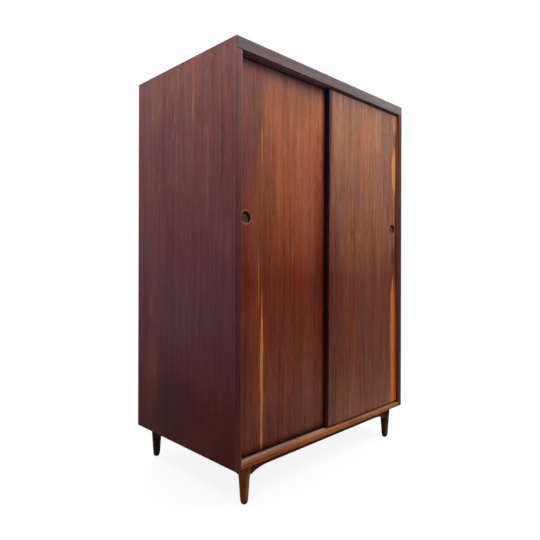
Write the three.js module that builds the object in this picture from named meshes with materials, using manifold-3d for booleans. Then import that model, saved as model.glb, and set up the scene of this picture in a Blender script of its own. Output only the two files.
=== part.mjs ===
// A wardrobe with two sliding doors, on a low frame with four turned legs.
// Millimetres, +Z up. The front faces -Y, and the floor is at Z = 0.
import * as THREE from "three";
import { mergeVertices } from "three/addons/utils/BufferGeometryUtils.js";
import Module from "manifold-3d";

const wasm = await Module();
wasm.setup();

// ---------------------------------------------------------------- driving sizes

// Case
const width = 1020;
const depth = 620;
const caseHeight = 1400;
const panelThickness = 24; // sides and top, mitred together
const bottomThickness = 17;
const partitionThickness = 19;
const backThickness = 6;
const backRebateWidth = 13;
const glueLine = 0.1; // left between glued faces
const slipGap = 0.3; // left round pieces that only rest or slip in
const overcut = 1; // how far a cutter runs past the face it cuts

// Front frame
const fasciaHeight = 40;
const lippingDepth = 6; // fascia and upright lippings, from front to back
const sillHeight = 17;
const sillLipRadius = 4;
const trackHeight = 24;
const trackRearWall = 8;
const arrisRadius = 2.5;

// Doors, their tongues and the grooves that the tongues run in
const doorThickness = 18;
const doorReveal = 11; // from the front of the case to the front door
const doorPassingGap = 2;
const doorOverlap = 45;
const doorEndGap = 0.5;
const doorFloorGap = 10; // shadow gap from the sill to the door's shoulder
const doorLiftGap = 7; // from the door's shoulder to the track, to lift the door out
const doorLippingWidth = 8;
const doorArris = 1.2;
const tongueThickness = 6;
const grooveWidth = 7;
const sillGrooveDepth = 6;
const topGrooveDepth = 15;
const tongueEngagement = 7;

// Finger pulls
const pullRadius = 25;
const pullEdgeDistance = 42; // from the door's outer edge to the pull's centre
const pullHeight = 822; // above the underside of the case
const pullBodyDepth = 10.5;
const pullFloorThickness = 2.5;
const pullRimWidth = 4;
const pullRimProud = 0.8;

// Base frame and legs
const legHeight = 140;
const legInsetSide = 73; // leg centre from the side of the case
const legInsetFront = 43;
const legInsetRear = 25;
const legTopRadius = 23;
const legTipRadius = 13.8;
const legSoleRadius = 7;
const legTipRounding = 14;
const legTipPull = 2.5; // how far inside the tip radius the rounding's curve is drawn
const railThickness = 22;
const railHeight = 29;
const railFlareDrop = 16;
const railFlareLength = 80;
const blockReach = 74; // corner block, measured along a rail from the leg centre
const blockHeight = 24;
const blockLegGap = 2;

// Inside
const insideSetback = 6; // shelves and partition behind the track
const boardThickness = 18;
const hatShelfDrop = 300; // top of the hat shelf below the top panel
const cleatHeight = 30;
const cleatWidth = 18;
const railDrop = 62; // hanging rail centre below the hat shelf
const railRadius = 12.5;
const socketRadius = 19;
const socketDepth = 14;
const socketBase = 3;
const socketTaper = 1.5;
const shelfCount = 4;
const shelfSideGap = 1;
const pinInset = 60; // shelf pin from the front and the rear of the shelf
const pinShankRadius = 2.5;
const pinShankLength = 9;
const pinHeadRadius = 3;
const pinHeadLength = 8;
const pinFlangeRadius = 5;
const pinFlangeThickness = 1.2;
const pinHoleRadius = 2.8;
const pinHoleDepth = 11;
const spareHolePitch = 32; // one spare hole above and one below each pin

// Facets round a circle
const largeRound = 48;
const smallRound = 12;

// ---------------------------------------------------------------- worked-out sizes

const insideWidth = width - 2 * panelThickness;
const grooveCentres = [0, 1].map((k) => doorReveal + doorThickness / 2 + k * (doorThickness + doorPassingGap));
const panelFront = lippingDepth + glueLine;
const trackRear = grooveCentres[1] + grooveWidth / 2 + trackRearWall;
const trackUnderside = caseHeight - fasciaHeight;
const topUnderside = caseHeight - panelThickness;
const backInside = depth - backThickness;
const bayFront = trackRear + insideSetback;
const bayDepth = backInside - slipGap - bayFront;
const bayWidth = (insideWidth - partitionThickness) / 2;
const doorWidth = (insideWidth - 2 * doorEndGap + doorOverlap) / 2;
const doorHeight = trackUnderside - sillHeight - doorFloorGap - doorLiftGap;
const tongueBelow = doorFloorGap + sillGrooveDepth - slipGap;
const tongueAbove = doorLiftGap + tongueEngagement;
const shelfPitch = (topUnderside - bottomThickness) / (shelfCount + 1);

// ---------------------------------------------------------------- solids

// A three.js geometry as a solid that can be joined and cut.
function solid(geometry) {
  const bare = geometry.clone();
  bare.deleteAttribute("normal");
  bare.deleteAttribute("uv");
  const merged = mergeVertices(bare, 1e-4);
  const vertProperties = new Float32Array(merged.attributes.position.array);
  const triVerts = new Uint32Array(merged.index.array);
  return new wasm.Manifold(new wasm.Mesh({ numProp: 3, vertProperties, triVerts }));
}

// The solid back as a geometry, with flat-shaded facets.
function geometryOf(manifold) {
  const { vertProperties, triVerts } = manifold.getMesh();
  const indexed = new THREE.BufferGeometry();
  indexed.setAttribute("position", new THREE.BufferAttribute(vertProperties, 3));
  indexed.setIndex(new THREE.BufferAttribute(triVerts, 1));
  const geometry = indexed.toNonIndexed();
  geometry.computeVertexNormals();
  return geometry;
}

const cut = (body, ...tools) => geometryOf(tools.reduce((rest, tool) => rest.subtract(solid(tool)), solid(body)));
const common = (a, b) => geometryOf(solid(a).intersect(solid(b)));

// A box from its lowest corner.
function box(x, y, z, sizeX, sizeY, sizeZ) {
  return new THREE.BoxGeometry(sizeX, sizeY, sizeZ).translate(x + sizeX / 2, y + sizeY / 2, z + sizeZ / 2);
}

// Turns a shape's own axes (u, v, extrusion w) to the object's axes.
const toYZ = new THREE.Matrix4().makeBasis(
  new THREE.Vector3(0, 1, 0),
  new THREE.Vector3(0, 0, 1),
  new THREE.Vector3(1, 0, 0),
);
const toXZ = new THREE.Matrix4().makeBasis(
  new THREE.Vector3(1, 0, 0),
  new THREE.Vector3(0, 0, 1),
  new THREE.Vector3(0, -1, 0),
);

function extrude(shape, length, curveSegments = 8) {
  return new THREE.ExtrudeGeometry(shape, { depth: length, bevelEnabled: false, curveSegments });
}

// A section in the YZ plane, run along X from zero.
const alongX = (shape, length, curveSegments) => extrude(shape, length, curveSegments).applyMatrix4(toYZ);

// An outline in the XZ plane, run back along Y from zero.
const alongY = (shape, length) => extrude(shape, length).translate(0, 0, -length).applyMatrix4(toXZ);

function outline(points) {
  return new THREE.Shape(points.map(([u, v]) => new THREE.Vector2(u, v)));
}

// A board seen from the front, its four front arrises rounded. Its front is at Y = 0.
function softFronted(sizeX, sizeY, sizeZ, radius) {
  const face = outline([[0, 0], [sizeX, 0], [sizeX, sizeZ], [0, sizeZ]]);
  const blank = new THREE.ExtrudeGeometry(face, {
    depth: 2 * sizeY - 2 * radius,
    bevelThickness: radius,
    bevelSize: radius,
    bevelOffset: -radius,
    bevelSegments: 4,
  });
  const placed = blank.translate(0, 0, radius - 2 * sizeY).applyMatrix4(toXZ);
  return common(placed, box(-overcut, 0, -overcut, sizeX + 2 * overcut, sizeY, sizeZ + 2 * overcut));
}

// A turned piece: [radius, height] points, standing along +Z.
function turned(profile, segments) {
  const points = profile.map(([radius, height]) => new THREE.Vector2(radius, height));
  return new THREE.LatheGeometry(points, segments).rotateX(Math.PI / 2);
}

// ---------------------------------------------------------------- finishes

const finish = (color, roughness, metalness = 0) => new THREE.MeshStandardMaterial({ color, roughness, metalness });
const rosewoodVeneer = finish(0x6b3a30, 0.3);
const rosewoodSolid = finish(0x5a2c20, 0.32);
const rosewoodDoor = finish(0x8a4a32, 0.28);
const darkTurned = finish(0x3a1a12, 0.35);
const beech = finish(0xc79a68, 0.5);
const birchPly = finish(0xb98b5c, 0.6);
const brass = finish(0xb08d4a, 0.35, 1);

const wardrobe = new THREE.Group();
const carcass = new THREE.Group(); // from the middle of the case's front lower edge
carcass.position.set(0, -depth / 2, legHeight);
wardrobe.add(carcass);

function add(parent, name, geometry, material, x = 0, y = 0, z = 0) {
  const mesh = new THREE.Mesh(geometry, material);
  mesh.name = name;
  mesh.position.set(x, y, z);
  parent.add(mesh);
  return mesh;
}

// ---------------------------------------------------------------- case

// Two columns of blind holes for the shelf pins. A group of three serves each shelf.
function pinHoles(faceX) {
  const holes = [];
  for (let shelf = 1; shelf <= shelfCount; shelf += 1) {
    for (const y of pinDepths()) {
      for (const step of [-1, 0, 1]) {
        const hole = new THREE.CylinderGeometry(pinHoleRadius, pinHoleRadius, 2 * pinHoleDepth, smallRound);
        hole.rotateZ(Math.PI / 2);
        holes.push(hole.translate(faceX, y, pinLevel(shelf) + step * spareHolePitch));
      }
    }
  }
  return holes;
}

function pinDepths() {
  return [bayFront + pinInset, bayFront + bayDepth - pinInset];
}

function pinLevel(shelf) {
  return bottomThickness + shelf * shelfPitch;
}

// The rebate that the back panels lie in, as one block across the inside.
function backRebate() {
  const reach = insideWidth + 2 * backRebateWidth;
  const top = topUnderside + backRebateWidth;
  return box(-reach / 2, backInside, -overcut, reach, backThickness + overcut, top + overcut);
}

// A side board, mitred at its top. side is -1 on the left and 1 on the right.
function sidePanel(side) {
  const outer = (side * width) / 2;
  const inner = outer - side * panelThickness;
  const miter = glueLine * Math.SQRT1_2;
  const corners = [
    [outer, 0],
    [outer, caseHeight - miter],
    [inner, topUnderside - miter],
    [inner, 0],
  ];
  const board = alongY(outline(corners), depth - panelFront);
  board.translate(0, panelFront, 0);
  const holes = side > 0 ? pinHoles(inner) : [];
  return cut(board, backRebate(), ...holes);
}

function topPanel() {
  const half = width / 2;
  const miter = glueLine * Math.SQRT1_2;
  const corners = [
    [-half + miter, caseHeight],
    [-half + panelThickness + miter, topUnderside],
    [half - panelThickness - miter, topUnderside],
    [half - miter, caseHeight],
  ];
  const board = alongY(outline(corners), depth - panelFront);
  board.translate(0, panelFront, 0);
  const trackTop = trackUnderside + trackHeight;
  const seatHeight = trackTop - topUnderside + overcut;
  const trackSeat = box(-insideWidth / 2, 0, topUnderside - overcut, insideWidth, trackRear, seatHeight);
  return cut(board, backRebate(), trackSeat);
}

// The solid sill: rounded front lip, then the two door grooves.
function sillSection() {
  const section = new THREE.Shape();
  section.moveTo(arrisRadius, 0);
  section.lineTo(trackRear, 0);
  section.lineTo(trackRear, sillHeight);
  for (const centre of grooveCentres.toReversed()) {
    section.lineTo(centre + grooveWidth / 2, sillHeight);
    section.lineTo(centre + grooveWidth / 2, sillHeight - sillGrooveDepth);
    section.lineTo(centre - grooveWidth / 2, sillHeight - sillGrooveDepth);
    section.lineTo(centre - grooveWidth / 2, sillHeight);
  }
  section.lineTo(sillLipRadius, sillHeight);
  section.absarc(sillLipRadius, sillHeight - sillLipRadius, sillLipRadius, Math.PI / 2, Math.PI, false);
  section.lineTo(0, arrisRadius);
  section.absarc(arrisRadius, arrisRadius, arrisRadius, Math.PI, 1.5 * Math.PI, false);
  return section;
}

// The upper track: behind the fascia and flush with its underside.
function trackSection() {
  const top = trackUnderside + trackHeight - glueLine;
  const grooveRoof = trackUnderside + topGrooveDepth;
  const [first, second] = grooveCentres;
  return outline([
    [panelFront, trackUnderside],
    [first - grooveWidth / 2, trackUnderside],
    [first - grooveWidth / 2, grooveRoof],
    [first + grooveWidth / 2, grooveRoof],
    [first + grooveWidth / 2, trackUnderside],
    [second - grooveWidth / 2, trackUnderside],
    [second - grooveWidth / 2, grooveRoof],
    [second + grooveWidth / 2, grooveRoof],
    [second + grooveWidth / 2, trackUnderside],
    [trackRear - glueLine, trackUnderside],
    [trackRear - glueLine, top],
    [panelFront, top],
  ]);
}

for (const [name, side] of [["left", -1], ["right", 1]]) {
  add(carcass, `${name}_side_panel`, sidePanel(side), rosewoodVeneer);
  const lipping = softFronted(panelThickness, lippingDepth, trackUnderside - glueLine, arrisRadius);
  const lippingX = side < 0 ? -width / 2 : width / 2 - panelThickness;
  add(carcass, `${name}_front_lipping`, lipping, rosewoodSolid, lippingX);
}
add(carcass, "top_panel", topPanel(), rosewoodVeneer);
const fascia = softFronted(width, lippingDepth, fasciaHeight, arrisRadius);
add(carcass, "top_fascia", fascia, rosewoodSolid, -width / 2, 0, trackUnderside);

const trackLength = insideWidth - 2 * glueLine;
add(carcass, "top_track", alongX(trackSection(), trackLength), rosewoodSolid, -trackLength / 2);
add(carcass, "front_sill", alongX(sillSection(), trackLength), rosewoodSolid, -trackLength / 2);

const bottomDepth = backInside - glueLine - trackRear - glueLine;
const bottomPanel = new THREE.BoxGeometry(trackLength, bottomDepth, bottomThickness);
const bottomY = trackRear + glueLine + bottomDepth / 2;
add(carcass, "bottom_panel", bottomPanel, beech, 0, bottomY, bottomThickness / 2);

// Two plywood backs that meet behind the partition, with a little room in the rebate.
const backRoom = 1;
const backWidth = insideWidth / 2 + backRebateWidth - backRoom - slipGap;
const backHeight = topUnderside + backRebateWidth - backRoom;
for (const [name, side] of [["left", -1], ["right", 1]]) {
  const back = new THREE.BoxGeometry(backWidth, backThickness - glueLine, backHeight);
  const backX = side * (slipGap + backWidth / 2);
  add(carcass, `${name}_back_panel`, back, birchPly, backX, depth - (backThickness - glueLine) / 2, backHeight / 2);
}

const partitionHeight = topUnderside - bottomThickness - 2 * glueLine;
const partitionBlank = box(
  -partitionThickness / 2,
  bayFront,
  bottomThickness + glueLine,
  partitionThickness,
  bayDepth,
  partitionHeight,
);
add(carcass, "centre_partition", cut(partitionBlank, ...pinHoles(partitionThickness / 2)), beech);

// ---------------------------------------------------------------- left bay: hat shelf and hanging rail

const leftBay = new THREE.Group(); // from the bay's lower front left corner
leftBay.position.set(-insideWidth / 2, bayFront, 0);
carcass.add(leftBay);

const hatShelfTop = topUnderside - hatShelfDrop;
const hatShelfUnderside = hatShelfTop - boardThickness;
const hatShelf = softFronted(bayWidth - 2 * shelfSideGap, bayDepth - slipGap, boardThickness, arrisRadius);
add(leftBay, "hat_shelf", hatShelf, beech, shelfSideGap, 0, hatShelfUnderside);

const cleat = new THREE.BoxGeometry(cleatWidth, bayDepth - pinInset, cleatHeight);
const cleatZ = hatShelfUnderside - glueLine - cleatHeight / 2;
const cleatX = glueLine + cleatWidth / 2;
add(leftBay, "hat_shelf_cleat_left", cleat, beech, cleatX, pinInset / 2 + cleat.parameters.height / 2, cleatZ);
add(leftBay, "hat_shelf_cleat_right", cleat, beech, bayWidth - cleatX, pinInset / 2 + cleat.parameters.height / 2, cleatZ);

// A turned cup that holds one end of the rail, slotted at the top so the rail lifts out.
function railSocket() {
  const bore = railRadius + slipGap;
  const cup = turned(
    [
      [0, 0],
      [socketRadius, 0],
      [socketRadius - socketTaper, socketDepth],
      [bore, socketDepth],
      [bore, socketBase],
      [0, socketBase],
    ],
    largeRound / 2,
  );
  return cut(cup, box(-bore, 0, socketBase, 2 * bore, socketRadius + overcut, socketDepth));
}

const railY = bayDepth / 2;
const railZ = hatShelfUnderside - railDrop;
const socketGeometry = railSocket();
const leftSocket = add(leftBay, "rail_socket_left", socketGeometry, brass, glueLine, railY, railZ);
leftSocket.rotation.set(Math.PI / 2, Math.PI / 2, 0);
const rightSocket = add(leftBay, "rail_socket_right", socketGeometry, brass, bayWidth - glueLine, railY, railZ);
rightSocket.rotation.set(Math.PI / 2, -Math.PI / 2, 0);
const railLength = bayWidth - 2 * (glueLine + socketBase + slipGap);
const hangingRail = new THREE.CylinderGeometry(railRadius, railRadius, railLength, largeRound / 2);
const rail = add(leftBay, "hanging_rail", hangingRail, beech, bayWidth / 2, railY, railZ);
rail.rotation.z = Math.PI / 2;

// ---------------------------------------------------------------- right bay: adjustable shelves

const rightBay = new THREE.Group(); // from the bay's lower front left corner
rightBay.position.set(partitionThickness / 2, 0, 0);
carcass.add(rightBay);

const pinGeometry = turned(
  [
    [0, -pinShankLength],
    [pinShankRadius, -pinShankLength],
    [pinShankRadius, 0],
    [pinFlangeRadius, 0],
    [pinFlangeRadius, pinFlangeThickness],
    [pinHeadRadius, pinFlangeThickness],
    [pinHeadRadius, pinHeadLength],
    [0, pinHeadLength],
  ],
  smallRound,
);
const shelfClearance = shelfSideGap + pinFlangeThickness;
const shelfWidth = bayWidth - 2 * shelfClearance;
for (let shelf = 1; shelf <= shelfCount; shelf += 1) {
  const board = softFronted(shelfWidth, bayDepth - slipGap, boardThickness, arrisRadius);
  const underside = pinLevel(shelf) + pinHeadRadius + glueLine;
  add(rightBay, `shelf_${shelf}`, board, beech, shelfClearance, bayFront, underside);
  pinDepths().forEach((y, row) => {
    const place = ["front", "rear"][row];
    for (const [name, x, turn] of [["left", slipGap, 1], ["right", bayWidth - slipGap, -1]]) {
      const pin = add(rightBay, `shelf_${shelf}_pin_${place}_${name}`, pinGeometry, brass, x, y, pinLevel(shelf));
      pin.rotation.y = (turn * Math.PI) / 2;
    }
  });
}

// ---------------------------------------------------------------- sliding doors

// A door's section from its lower shoulder, with a tongue at each end.
function doorSection() {
  const near = (doorThickness - tongueThickness) / 2;
  const far = near + tongueThickness;
  return outline([
    [0, 0],
    [near, 0],
    [near, -tongueBelow],
    [far, -tongueBelow],
    [far, 0],
    [doorThickness, 0],
    [doorThickness, doorHeight],
    [far, doorHeight],
    [far, doorHeight + tongueAbove],
    [near, doorHeight + tongueAbove],
    [near, doorHeight],
    [0, doorHeight],
  ]);
}

// An upright edge lipping, its outer arrises rounded. outer is -1 or 1.
function doorLipping(outer) {
  const plan = new THREE.Shape();
  plan.moveTo(0, 0);
  plan.lineTo(doorLippingWidth - doorArris, 0);
  plan.absarc(doorLippingWidth - doorArris, doorArris, doorArris, -Math.PI / 2, 0, false);
  plan.lineTo(doorLippingWidth, doorThickness - doorArris);
  plan.absarc(doorLippingWidth - doorArris, doorThickness - doorArris, doorArris, 0, Math.PI / 2, false);
  plan.lineTo(0, doorThickness);
  const blank = extrude(plan, doorHeight + tongueAbove + tongueBelow, 4).translate(0, 0, -tongueBelow);
  const right = common(alongX(doorSection(), doorLippingWidth), blank);
  return outer > 0 ? right : right.rotateZ(Math.PI).translate(doorLippingWidth, doorThickness, 0);
}

// The turned finger pull: a flush cup with a beaded rim. Its floor is at Z = 0.
function fingerPull() {
  const inner = pullRadius - pullRimWidth;
  const face = pullBodyDepth - slipGap;
  const bead = new THREE.QuadraticBezierCurve(
    new THREE.Vector2(pullRadius, face),
    new THREE.Vector2(pullRadius - pullRimWidth / 2, face + 2 * pullRimProud),
    new THREE.Vector2(inner, face - pullRimProud),
  );
  const hollow = new THREE.QuadraticBezierCurve(
    new THREE.Vector2(inner, face - pullRimProud),
    new THREE.Vector2(inner + 0.5, pullFloorThickness),
    new THREE.Vector2(inner * 0.72, pullFloorThickness),
  );
  const rim = bead.getPoints(6).map((p) => [p.x, p.y]);
  const bowl = hollow.getPoints(8).slice(1).map((p) => [p.x, p.y]);
  return turned([[0, 0], [pullRadius, 0], ...rim, ...bowl, [0, pullFloorThickness]], largeRound);
}

// A door as it hangs closed. track 0 is the front one; outer is the side it closes on.
function slidingDoor(name, track, outer) {
  const door = new THREE.Group(); // from the door's lower shoulder, left edge, front face
  const closedLeft = outer < 0 ? -insideWidth / 2 + doorEndGap : insideWidth / 2 - doorEndGap - doorWidth;
  const face = doorReveal + track * (doorThickness + doorPassingGap);
  door.position.set(closedLeft, face, sillHeight + doorFloorGap);
  carcass.add(door);

  const panelWidth = doorWidth - 2 * (doorLippingWidth + glueLine);
  const panelLeft = doorLippingWidth + glueLine;
  const pullX = outer < 0 ? pullEdgeDistance : doorWidth - pullEdgeDistance;
  const pullZ = pullHeight - sillHeight - doorFloorGap;
  const recess = new THREE.CylinderGeometry(pullRadius + slipGap, pullRadius + slipGap, 2 * pullBodyDepth, largeRound);
  recess.translate(pullX - panelLeft, 0, pullZ);
  const panel = cut(alongX(doorSection(), panelWidth), recess);
  add(door, `${name}_panel`, panel, rosewoodDoor, panelLeft);
  add(door, `${name}_left_lipping`, doorLipping(-1), rosewoodSolid);
  add(door, `${name}_right_lipping`, doorLipping(1), rosewoodSolid, doorWidth - doorLippingWidth);
  const pull = add(door, `${name}_finger_pull`, fingerPull(), darkTurned, pullX, pullBodyDepth - slipGap, pullZ);
  pull.rotation.x = Math.PI / 2;
}

slidingDoor("left_door", 1, -1);
slidingDoor("right_door", 0, 1);

// ---------------------------------------------------------------- base frame and legs

const base = new THREE.Group(); // from the middle of the case's front lower edge
base.position.copy(carcass.position);
wardrobe.add(base);

// A leg's outline from its top down, grown all round by a gap where a rail is cut to it.
function legSolid(gap = 0) {
  const tip = new THREE.QuadraticBezierCurve(
    new THREE.Vector2(legTipRadius + gap, -legHeight + legTipRounding),
    new THREE.Vector2(legTipRadius - legTipPull + gap, -legHeight),
    new THREE.Vector2(legSoleRadius + gap, -legHeight),
  );
  const foot = tip.getPoints(6).reverse().map((p) => [p.x, p.y]);
  const top = gap ? gap : -glueLine;
  return turned([[0, -legHeight], ...foot, [legTopRadius + gap, top], [0, top]], largeRound);
}

// A rail between two leg centres: its lower edge flares down in a curve at each leg.
function railOutline(length) {
  const shape = new THREE.Shape();
  const low = -railHeight - railFlareDrop;
  const start = legTopRadius;
  const bend = start + 0.4 * railFlareLength;
  const end = start + railFlareLength;
  shape.moveTo(0, -glueLine);
  shape.lineTo(0, low);
  shape.lineTo(start, low);
  shape.quadraticCurveTo(bend, -railHeight, end, -railHeight);
  shape.lineTo(length - end, -railHeight);
  shape.quadraticCurveTo(length - bend, -railHeight, length - start, low);
  shape.lineTo(length, low);
  shape.lineTo(length, -glueLine);
  return shape;
}

function copedRail(length) {
  const blank = alongY(railOutline(length), railThickness).translate(0, -railThickness / 2, 0);
  return cut(blank, legSolid(slipGap), legSolid(slipGap).translate(length, 0, 0));
}

const legX = width / 2 - legInsetSide;
const legRows = { front: legInsetFront, rear: depth - legInsetRear };
const frameDepth = legRows.rear - legRows.front;
for (const [row, y] of Object.entries(legRows)) {
  add(base, `${row}_apron`, copedRail(2 * legX), rosewoodSolid, -legX, y);
}
for (const [name, x] of [["left", -legX], ["right", legX]]) {
  const stretcher = add(base, `${name}_stretcher`, copedRail(frameDepth), rosewoodSolid, x, legRows.front);
  stretcher.rotation.z = Math.PI / 2;
}

// A glue block across the inside corner of two rails, clear of the leg.
function cornerBlock(towardsX, towardsY) {
  const railFace = railThickness / 2 + glueLine;
  const cutOff = Math.SQRT2 * (legTopRadius + blockLegGap) - railFace;
  const plan = outline([
    [railFace, cutOff],
    [cutOff, railFace],
    [blockReach, railFace],
    [railFace, blockReach],
  ]);
  const block = extrude(plan, blockHeight).translate(0, 0, -blockHeight - glueLine);
  const quarterTurns = towardsX > 0 ? (towardsY > 0 ? 0 : 3) : towardsY > 0 ? 1 : 2;
  return block.rotateZ((quarterTurns * Math.PI) / 2);
}

for (const [row, y] of Object.entries(legRows)) {
  for (const [name, side] of [["left", -1], ["right", 1]]) {
    add(base, `${row}_${name}_leg`, legSolid(), rosewoodSolid, side * legX, y);
    const inward = row === "front" ? 1 : -1;
    add(base, `${row}_${name}_corner_block`, cornerBlock(-side, inward), beech, side * legX, y);
  }
}

export default wardrobe;
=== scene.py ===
import math

import bmesh
import bpy
from mathutils import Matrix, Vector


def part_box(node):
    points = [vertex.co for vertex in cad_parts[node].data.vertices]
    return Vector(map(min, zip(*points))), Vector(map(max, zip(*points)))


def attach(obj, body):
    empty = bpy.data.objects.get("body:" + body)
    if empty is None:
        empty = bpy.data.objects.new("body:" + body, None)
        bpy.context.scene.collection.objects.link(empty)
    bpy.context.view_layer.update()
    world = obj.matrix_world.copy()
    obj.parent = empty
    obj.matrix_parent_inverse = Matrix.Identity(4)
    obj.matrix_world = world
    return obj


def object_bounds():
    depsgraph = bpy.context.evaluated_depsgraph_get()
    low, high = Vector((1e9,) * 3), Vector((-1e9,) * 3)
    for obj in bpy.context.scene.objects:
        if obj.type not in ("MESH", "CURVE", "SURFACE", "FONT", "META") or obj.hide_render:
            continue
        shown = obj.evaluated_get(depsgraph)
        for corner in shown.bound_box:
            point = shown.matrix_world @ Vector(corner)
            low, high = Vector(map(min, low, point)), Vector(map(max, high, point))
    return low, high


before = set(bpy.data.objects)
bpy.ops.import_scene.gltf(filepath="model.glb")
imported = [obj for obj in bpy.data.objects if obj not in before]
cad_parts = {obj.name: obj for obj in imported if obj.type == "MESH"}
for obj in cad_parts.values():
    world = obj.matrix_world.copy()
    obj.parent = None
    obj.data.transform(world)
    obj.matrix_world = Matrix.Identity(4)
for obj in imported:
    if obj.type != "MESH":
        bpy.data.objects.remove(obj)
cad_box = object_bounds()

# A rosewood wardrobe with two sliding doors. Metres; the doors face -Y and the floor is at Z = 0.

# The outer faces of the case, its foot, which stands on the legs, and the floor
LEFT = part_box("left_side_panel")[0].x
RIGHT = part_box("right_side_panel")[1].x
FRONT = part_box("top_fascia")[0].y
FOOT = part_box("left_side_panel")[0].z
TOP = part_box("top_fascia")[1].z
FLOOR = cad_box[0].z

DOOR_HEAD = FOOT + 1.352  # the highest part of a door that shows under the fascia
DOOR_FOOT = FOOT + 0.027  # the lowest part of a door that shows over the sill


# ---------------------------------------------------------------- node building


def rgb(red, green, blue):
    return (red, green, blue, 1.0)


ZERO = (0.0, 0.0, 0.0)
ONES = (1.0, 1.0, 1.0)
WHITE = rgb(*ONES)

# The sockets of a Mix node for colours: its factor and the two colours, and its result
MIX_INPUTS = (0, 6, 7)
MIX_RESULT = 2


class Graph:
    """Adds nodes to one node tree and joins them, so that a material reads as a formula."""

    def __init__(self, tree):
        self.tree = tree

    def node(self, kind, inputs=(), **settings):
        made = self.tree.nodes.new(kind)
        for name, value in settings.items():
            setattr(made, name, value)
        for key, value in dict(inputs).items():
            self.feed(made.inputs[key], value)
        return made

    def feed(self, socket, value):
        if isinstance(value, bpy.types.NodeSocket):
            self.tree.links.new(value, socket)
        else:
            socket.default_value = value

    def math(self, operation, *values, clamp=False):
        settings = {"operation": operation, "use_clamp": clamp}
        return self.node("ShaderNodeMath", enumerate(values), **settings).outputs[0]

    def add(self, a, b):
        return self.math("ADD", a, b)

    def times(self, a, b):
        return self.math("MULTIPLY", a, b)

    def vector_math(self, operation, a, b=ZERO, output="Vector"):
        return self.node("ShaderNodeVectorMath", {0: a, 1: b}, operation=operation).outputs[output]

    def fade(self, value, low, high, start=0.0, end=1.0):
        """A smooth step from start at low to end at high."""
        inputs = {"Value": value, "From Min": low, "From Max": high, "To Min": start, "To Max": end}
        made = self.node("ShaderNodeMapRange", inputs, interpolation_type="SMOOTHSTEP")
        return made.outputs[0]

    def ramp(self, value, low, high, stops):
        """A colour that runs through stops, each a value and a colour, between low and high."""
        position = self.math("DIVIDE", self.math("SUBTRACT", value, low), high - low, clamp=True)
        made = self.node("ShaderNodeValToRGB", {0: position})
        elements = made.color_ramp.elements
        while len(elements) < len(stops):
            elements.new(0.5)
        for element, (place, colour) in zip(elements, stops):
            element.position = (place - low) / (high - low)
            element.color = colour
        return made.outputs[0]

    def mix(self, factor, a, b, blend="MIX"):
        made = self.node("ShaderNodeMix", data_type="RGBA", blend_type=blend, clamp_factor=True)
        for index, value in zip(MIX_INPUTS, (factor, a, b)):
            self.feed(made.inputs[index], value)
        return made.outputs[MIX_RESULT]

    def mix_shaders(self, factor, a, b):
        return self.node("ShaderNodeMixShader", {0: factor, 1: a, 2: b}).outputs[0]

    def stain(self, colour, by, mask=1.0):
        """A colour multiplied, where the mask is 1, by another one or by three plain factors."""
        return self.mix(mask, colour, rgb(*by) if isinstance(by, tuple) else by, "MULTIPLY")

    def shade(self, colour, amount):
        """A colour made darker or lighter by a number."""
        return self.stain(colour, self.join(amount, amount, amount))

    def grade(self, colour, *shifts):
        """A colour multiplied by 1 + the sum of the shifts, each a value and its three weights."""
        total = ONES
        for value, weights in shifts:
            step = self.vector_math("MULTIPLY", self.join(value, value, value), weights)
            total = self.vector_math("ADD", total, step)
        return self.stain(colour, total)

    def noise(self, vector, scale=1.0, detail=2.0, roughness=0.5):
        inputs = {"Vector": vector, "Scale": scale, "Detail": detail, "Roughness": roughness}
        return self.node("ShaderNodeTexNoise", inputs).outputs["Fac"]

    def grain_noise(self, vector, across, along, detail=2.0, roughness=0.5, seed=0.0):
        """Noise drawn out along Z, the grain. across and along are features to the metre."""
        offset = (seed, 2.3 * seed, 0.7 * seed)
        inputs = {"Vector": vector, "Scale": (across, across, along), "Location": offset}
        stretched = self.node("ShaderNodeMapping", inputs).outputs[0]
        return self.noise(stretched, detail=detail, roughness=roughness)

    def swing(self, vector, across, along, **settings):
        """Grain noise that runs below and above zero."""
        return self.add(self.grain_noise(vector, across, along, **settings), -0.5)

    def split(self, vector):
        return self.node("ShaderNodeSeparateXYZ", {0: vector}).outputs

    def join(self, x, y, z):
        return self.node("ShaderNodeCombineXYZ", {0: x, 1: y, 2: z}).outputs[0]

    def place(self):
        """Where on the object a point of the surface is."""
        return self.node("ShaderNodeTexCoord").outputs["Object"]

    def use(self, tree, **inputs):
        """Places a node group. An underscore here stands for a space in a socket's name."""
        named = {key.replace("_", " "): value for key, value in inputs.items()}
        return self.node("ShaderNodeGroup", named, node_tree=tree).outputs


def group(name, inputs, outputs, build):
    """A shader node group. inputs maps each socket's name to its default value.

    build gets the graph and the inputs' sockets, and returns a value for each output.
    """
    tree = bpy.data.node_groups.new(name, "ShaderNodeTree")
    for socket, default in inputs.items():
        kind = "NodeSocketVector" if isinstance(default, tuple) else "NodeSocketFloat"
        made = tree.interface.new_socket(socket, in_out="INPUT", socket_type=kind)
        made.default_value = default
    for socket in outputs:
        tree.interface.new_socket(socket, in_out="OUTPUT", socket_type="NodeSocketFloat")
    graph = Graph(tree)
    results = build(graph, graph.node("NodeGroupInput").outputs)
    end = graph.node("NodeGroupOutput")
    for socket, value in zip(outputs, results):
        graph.feed(end.inputs[socket], value)
    return tree


# ---------------------------------------------------------------- shared effects

# Layers of light and dark in the grain: features to the metre across it and along it, and share
TONE_LAYERS = (
    (40.0, 2.1, 0.75),
    (95.0, 4.0, 0.80),
    (220.0, 18.0, 0.78),
    (260.0, 110.0, 0.62),
)


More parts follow.
